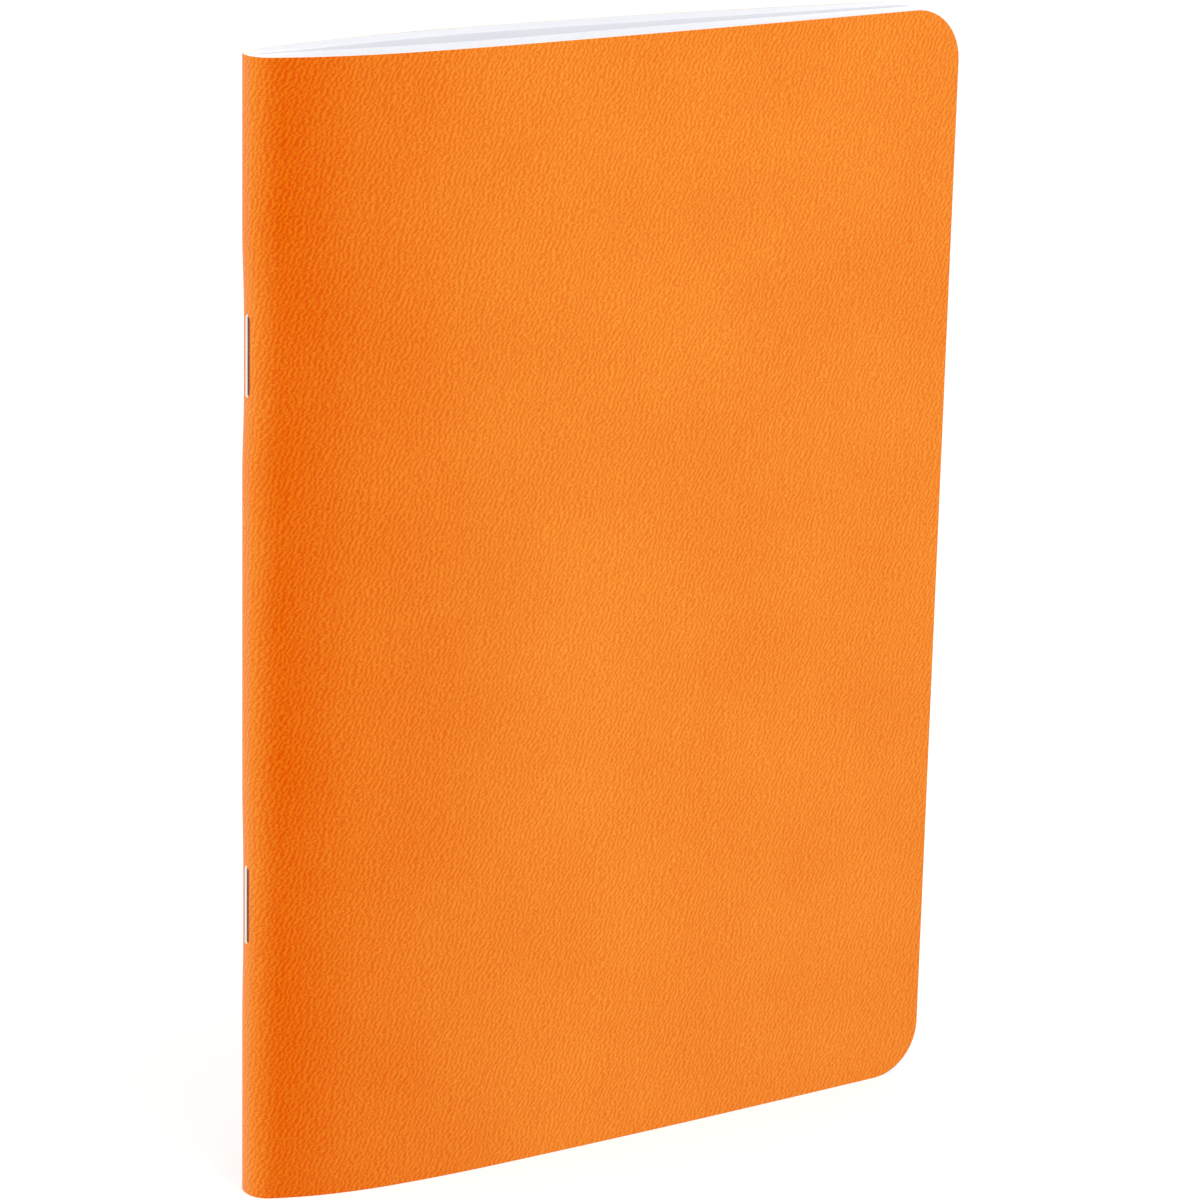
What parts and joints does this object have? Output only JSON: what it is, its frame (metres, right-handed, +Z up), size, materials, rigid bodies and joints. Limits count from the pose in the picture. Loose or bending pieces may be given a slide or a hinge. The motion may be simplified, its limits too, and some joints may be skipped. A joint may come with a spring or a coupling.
{
  "type": "stapled exercise book",
  "caption": "Stapled exercise book with a leather-grain card cover, rounded fore-edge corners and folded sheets, which opens flat from its spine.",
  "frame": {"origin": "middle of the book's box, on the plane of its lower edges", "axes": "+Z up the page, +X from the spine to the fore-edge, -Y out of the front cover"},
  "size_m": [0.1448, 0.0212, 0.21],
  "materials": {
    "cover_card": "satin leather grain",
    "paper": "matt",
    "staple_wire": "bright wire"
  },
  "bodies": {
    "spine": {"cover_spine": "cover_card", "sheet_folds": "paper", "staples": "staple_wire"},
    "front_cover": {"front_cover": "cover_card"},
    "sheet_01_front_leaf": {"sheet_01_front_leaf": "paper"},
    "sheet_02_front_leaf": {"sheet_02_front_leaf": "paper"},
    "sheet_03_front_leaf": {"sheet_03_front_leaf": "paper"},
    "sheet_04_front_leaf": {"sheet_04_front_leaf": "paper"},
    "sheet_05_front_leaf": {"sheet_05_front_leaf": "paper"},
    "sheet_06_front_leaf": {"sheet_06_front_leaf": "paper"},
    "sheet_07_front_leaf": {"sheet_07_front_leaf": "paper"},
    "sheet_08_front_leaf": {"sheet_08_front_leaf": "paper"},
    "sheet_09_front_leaf": {"sheet_09_front_leaf": "paper"},
    "sheet_10_front_leaf": {"sheet_10_front_leaf": "paper"},
    "sheet_11_front_leaf": {"sheet_11_front_leaf": "paper"},
    "sheet_12_front_leaf": {"sheet_12_front_leaf": "paper"},
    "sheet_13_front_leaf": {"sheet_13_front_leaf": "paper"},
    "sheet_14_front_leaf": {"sheet_14_front_leaf": "paper"},
    "sheet_15_front_leaf": {"sheet_15_front_leaf": "paper"},
    "sheet_16_front_leaf": {"sheet_16_front_leaf": "paper"},
    "sheet_17_front_leaf": {"sheet_17_front_leaf": "paper"},
    "sheet_18_front_leaf": {"sheet_18_front_leaf": "paper"},
    "back_cover": {"back_cover": "cover_card"},
    "sheet_01_back_leaf": {"sheet_01_back_leaf": "paper"},
    "sheet_02_back_leaf": {"sheet_02_back_leaf": "paper"},
    "sheet_03_back_leaf": {"sheet_03_back_leaf": "paper"},
    "sheet_04_back_leaf": {"sheet_04_back_leaf": "paper"},
    "sheet_05_back_leaf": {"sheet_05_back_leaf": "paper"},
    "sheet_06_back_leaf": {"sheet_06_back_leaf": "paper"},
    "sheet_07_back_leaf": {"sheet_07_back_leaf": "paper"},
    "sheet_08_back_leaf": {"sheet_08_back_leaf": "paper"},
    "sheet_09_back_leaf": {"sheet_09_back_leaf": "paper"},
    "sheet_10_back_leaf": {"sheet_10_back_leaf": "paper"},
    "sheet_11_back_leaf": {"sheet_11_back_leaf": "paper"},
    "sheet_12_back_leaf": {"sheet_12_back_leaf": "paper"},
    "sheet_13_back_leaf": {"sheet_13_back_leaf": "paper"},
    "sheet_14_back_leaf": {"sheet_14_back_leaf": "paper"},
    "sheet_15_back_leaf": {"sheet_15_back_leaf": "paper"},
    "sheet_16_back_leaf": {"sheet_16_back_leaf": "paper"},
    "sheet_17_back_leaf": {"sheet_17_back_leaf": "paper"},
    "sheet_18_back_leaf": {"sheet_18_back_leaf": "paper"}
  },
  "joints": [
    {"name": "front_cover_hinge", "type": "hinge", "parent": "spine", "child": "front_cover", "pos_m": [-0.06931, -0.00542, 0], "axis": [0, 0, -1], "range_deg": [0, 90]},
    {"name": "sheet_01_front_turn", "type": "hinge", "parent": "spine", "child": "sheet_01_front_leaf", "pos_m": [-0.06868, -0.00515, 0], "axis": [0, 0, -1], "range_deg": [0, 87.3]},
    {"name": "sheet_02_front_turn", "type": "hinge", "parent": "spine", "child": "sheet_02_front_leaf", "pos_m": [-0.06832, -0.00495, 0], "axis": [0, 0, -1], "range_deg": [0, 86.8]},
    {"name": "sheet_03_front_turn", "type": "hinge", "parent": "spine", "child": "sheet_03_front_leaf", "pos_m": [-0.06796, -0.00474, 0], "axis": [0, 0, -1], "range_deg": [0, 86.2]},
    {"name": "sheet_04_front_turn", "type": "hinge", "parent": "spine", "child": "sheet_04_front_leaf", "pos_m": [-0.0676, -0.00454, 0], "axis": [0, 0, -1], "range_deg": [0, 85.6]},
    {"name": "sheet_05_front_turn", "type": "hinge", "parent": "spine", "child": "sheet_05_front_leaf", "pos_m": [-0.06723, -0.00433, 0], "axis": [0, 0, -1], "range_deg": [0, 85]},
    {"name": "sheet_06_front_turn", "type": "hinge", "parent": "spine", "child": "sheet_06_front_leaf", "pos_m": [-0.06687, -0.00413, 0], "axis": [0, 0, -1], "range_deg": [0, 84.4]},
    {"name": "sheet_07_front_turn", "type": "hinge", "parent": "spine", "child": "sheet_07_front_leaf", "pos_m": [-0.06651, -0.00392, 0], "axis": [0, 0, -1], "range_deg": [0, 83.9]},
    {"name": "sheet_08_front_turn", "type": "hinge", "parent": "spine", "child": "sheet_08_front_leaf", "pos_m": [-0.06615, -0.00372, 0], "axis": [0, 0, -1], "range_deg": [0, 83.3]},
    {"name": "sheet_09_front_turn", "type": "hinge", "parent": "spine", "child": "sheet_09_front_leaf", "pos_m": [-0.06579, -0.00351, 0], "axis": [0, 0, -1], "range_deg": [0, 82.7]},
    {"name": "sheet_10_front_turn", "type": "hinge", "parent": "spine", "child": "sheet_10_front_leaf", "pos_m": [-0.06543, -0.00331, 0], "axis": [0, 0, -1], "range_deg": [0, 82.1]},
    {"name": "sheet_11_front_turn", "type": "hinge", "parent": "spine", "child": "sheet_11_front_leaf", "pos_m": [-0.06507, -0.0031, 0], "axis": [0, 0, -1], "range_deg": [0, 81.5]},
    {"name": "sheet_12_front_turn", "type": "hinge", "parent": "spine", "child": "sheet_12_front_leaf", "pos_m": [-0.06471, -0.0029, 0], "axis": [0, 0, -1], "range_deg": [0, 80.9]},
    {"name": "sheet_13_front_turn", "type": "hinge", "parent": "spine", "child": "sheet_13_front_leaf", "pos_m": [-0.06434, -0.00269, 0], "axis": [0, 0, -1], "range_deg": [0, 80.4]},
    {"name": "sheet_14_front_turn", "type": "hinge", "parent": "spine", "child": "sheet_14_front_leaf", "pos_m": [-0.06398, -0.00249, 0], "axis": [0, 0, -1], "range_deg": [0, 79.8]},
    {"name": "sheet_15_front_turn", "type": "hinge", "parent": "spine", "child": "sheet_15_front_leaf", "pos_m": [-0.06362, -0.00228, 0], "axis": [0, 0, -1], "range_deg": [0, 79.2]},
    {"name": "sheet_16_front_turn", "type": "hinge", "parent": "spine", "child": "sheet_16_front_leaf", "pos_m": [-0.06326, -0.00208, 0], "axis": [0, 0, -1], "range_deg": [0, 78.6]},
    {"name": "sheet_17_front_turn", "type": "hinge", "parent": "spine", "child": "sheet_17_front_leaf", "pos_m": [-0.0629, -0.00187, 0], "axis": [0, 0, -1], "range_deg": [0, 78]},
    {"name": "sheet_18_front_turn", "type": "hinge", "parent": "spine", "child": "sheet_18_front_leaf", "pos_m": [-0.06254, -0.00167, 0], "axis": [0, 0, -1], "range_deg": [0, 77.5]},
    {"name": "back_cover_hinge", "type": "hinge", "parent": "spine", "child": "back_cover", "pos_m": [-0.06931, 0.00348, 0], "axis": [0, 0, 1], "range_deg": [0, 90]},
    {"name": "sheet_01_back_turn", "type": "hinge", "parent": "spine", "child": "sheet_01_back_leaf", "pos_m": [-0.06868, 0.00322, 0], "axis": [0, 0, 1], "range_deg": [0, 87.3]},
    {"name": "sheet_02_back_turn", "type": "hinge", "parent": "spine", "child": "sheet_02_back_leaf", "pos_m": [-0.06832, 0.00301, 0], "axis": [0, 0, 1], "range_deg": [0, 86.8]},
    {"name": "sheet_03_back_turn", "type": "hinge", "parent": "spine", "child": "sheet_03_back_leaf", "pos_m": [-0.06796, 0.00281, 0], "axis": [0, 0, 1], "range_deg": [0, 86.2]},
    {"name": "sheet_04_back_turn", "type": "hinge", "parent": "spine", "child": "sheet_04_back_leaf", "pos_m": [-0.0676, 0.0026, 0], "axis": [0, 0, 1], "range_deg": [0, 85.6]},
    {"name": "sheet_05_back_turn", "type": "hinge", "parent": "spine", "child": "sheet_05_back_leaf", "pos_m": [-0.06723, 0.0024, 0], "axis": [0, 0, 1], "range_deg": [0, 85]},
    {"name": "sheet_06_back_turn", "type": "hinge", "parent": "spine", "child": "sheet_06_back_leaf", "pos_m": [-0.06687, 0.00219, 0], "axis": [0, 0, 1], "range_deg": [0, 84.4]},
    {"name": "sheet_07_back_turn", "type": "hinge", "parent": "spine", "child": "sheet_07_back_leaf", "pos_m": [-0.06651, 0.00199, 0], "axis": [0, 0, 1], "range_deg": [0, 83.9]},
    {"name": "sheet_08_back_turn", "type": "hinge", "parent": "spine", "child": "sheet_08_back_leaf", "pos_m": [-0.06615, 0.00178, 0], "axis": [0, 0, 1], "range_deg": [0, 83.3]},
    {"name": "sheet_09_back_turn", "type": "hinge", "parent": "spine", "child": "sheet_09_back_leaf", "pos_m": [-0.06579, 0.00158, 0], "axis": [0, 0, 1], "range_deg": [0, 82.7]},
    {"name": "sheet_10_back_turn", "type": "hinge", "parent": "spine", "child": "sheet_10_back_leaf", "pos_m": [-0.06543, 0.00137, 0], "axis": [0, 0, 1], "range_deg": [0, 82.1]},
    {"name": "sheet_11_back_turn", "type": "hinge", "parent": "spine", "child": "sheet_11_back_leaf", "pos_m": [-0.06507, 0.00117, 0], "axis": [0, 0, 1], "range_deg": [0, 81.5]},
    {"name": "sheet_12_back_turn", "type": "hinge", "parent": "spine", "child": "sheet_12_back_leaf", "pos_m": [-0.06471, 0.00096, 0], "axis": [0, 0, 1], "range_deg": [0, 80.9]},
    {"name": "sheet_13_back_turn", "type": "hinge", "parent": "spine", "child": "sheet_13_back_leaf", "pos_m": [-0.06434, 0.00076, 0], "axis": [0, 0, 1], "range_deg": [0, 80.4]},
    {"name": "sheet_14_back_turn", "type": "hinge", "parent": "spine", "child": "sheet_14_back_leaf", "pos_m": [-0.06398, 0.00055, 0], "axis": [0, 0, 1], "range_deg": [0, 79.8]},
    {"name": "sheet_15_back_turn", "type": "hinge", "parent": "spine", "child": "sheet_15_back_leaf", "pos_m": [-0.06362, 0.00035, 0], "axis": [0, 0, 1], "range_deg": [0, 79.2]},
    {"name": "sheet_16_back_turn", "type": "hinge", "parent": "spine", "child": "sheet_16_back_leaf", "pos_m": [-0.06326, 0.00014, 0], "axis": [0, 0, 1], "range_deg": [0, 78.6]},
    {"name": "sheet_17_back_turn", "type": "hinge", "parent": "spine", "child": "sheet_17_back_leaf", "pos_m": [-0.0629, -0.00006, 0], "axis": [0, 0, 1], "range_deg": [0, 78]},
    {"name": "sheet_18_back_turn", "type": "hinge", "parent": "spine", "child": "sheet_18_back_leaf", "pos_m": [-0.06254, -0.00027, 0], "axis": [0, 0, 1], "range_deg": [0, 77.5]}
  ],
  "couplings": [
    {"joint": "sheet_01_front_turn", "follows": "front_cover_hinge", "ratio": 0.97},
    {"joint": "sheet_02_front_turn", "follows": "front_cover_hinge", "ratio": 0.9635},
    {"joint": "sheet_03_front_turn", "follows": "front_cover_hinge", "ratio": 0.9571},
    {"joint": "sheet_04_front_turn", "follows": "front_cover_hinge", "ratio": 0.9506},
    {"joint": "sheet_05_front_turn", "follows": "front_cover_hinge", "ratio": 0.9441},
    {"joint": "sheet_06_front_turn", "follows": "front_cover_hinge", "ratio": 0.9376},
    {"joint": "sheet_07_front_turn", "follows": "front_cover_hinge", "ratio": 0.9312},
    {"joint": "sheet_08_front_turn", "follows": "front_cover_hinge", "ratio": 0.9247},
    {"joint": "sheet_09_front_turn", "follows": "front_cover_hinge", "ratio": 0.9182},
    {"joint": "sheet_10_front_turn", "follows": "front_cover_hinge", "ratio": 0.9118},
    {"joint": "sheet_11_front_turn", "follows": "front_cover_hinge", "ratio": 0.9053},
    {"joint": "sheet_12_front_turn", "follows": "front_cover_hinge", "ratio": 0.8988},
    {"joint": "sheet_13_front_turn", "follows": "front_cover_hinge", "ratio": 0.8924},
    {"joint": "sheet_14_front_turn", "follows": "front_cover_hinge", "ratio": 0.8859},
    {"joint": "sheet_15_front_turn", "follows": "front_cover_hinge", "ratio": 0.8794},
    {"joint": "sheet_16_front_turn", "follows": "front_cover_hinge", "ratio": 0.8729},
    {"joint": "sheet_17_front_turn", "follows": "front_cover_hinge", "ratio": 0.8665},
    {"joint": "sheet_18_front_turn", "follows": "front_cover_hinge", "ratio": 0.86},
    {"joint": "sheet_01_back_turn", "follows": "back_cover_hinge", "ratio": 0.97},
    {"joint": "sheet_02_back_turn", "follows": "back_cover_hinge", "ratio": 0.9635},
    {"joint": "sheet_03_back_turn", "follows": "back_cover_hinge", "ratio": 0.9571},
    {"joint": "sheet_04_back_turn", "follows": "back_cover_hinge", "ratio": 0.9506},
    {"joint": "sheet_05_back_turn", "follows": "back_cover_hinge", "ratio": 0.9441},
    {"joint": "sheet_06_back_turn", "follows": "back_cover_hinge", "ratio": 0.9376},
    {"joint": "sheet_07_back_turn", "follows": "back_cover_hinge", "ratio": 0.9312},
    {"joint": "sheet_08_back_turn", "follows": "back_cover_hinge", "ratio": 0.9247},
    {"joint": "sheet_09_back_turn", "follows": "back_cover_hinge", "ratio": 0.9182},
    {"joint": "sheet_10_back_turn", "follows": "back_cover_hinge", "ratio": 0.9118},
    {"joint": "sheet_11_back_turn", "follows": "back_cover_hinge", "ratio": 0.9053},
    {"joint": "sheet_12_back_turn", "follows": "back_cover_hinge", "ratio": 0.8988},
    {"joint": "sheet_13_back_turn", "follows": "back_cover_hinge", "ratio": 0.8924},
    {"joint": "sheet_14_back_turn", "follows": "back_cover_hinge", "ratio": 0.8859},
    {"joint": "sheet_15_back_turn", "follows": "back_cover_hinge", "ratio": 0.8794},
    {"joint": "sheet_16_back_turn", "follows": "back_cover_hinge", "ratio": 0.8729},
    {"joint": "sheet_17_back_turn", "follows": "back_cover_hinge", "ratio": 0.8665},
    {"joint": "sheet_18_back_turn", "follows": "back_cover_hinge", "ratio": 0.86}
  ]
}
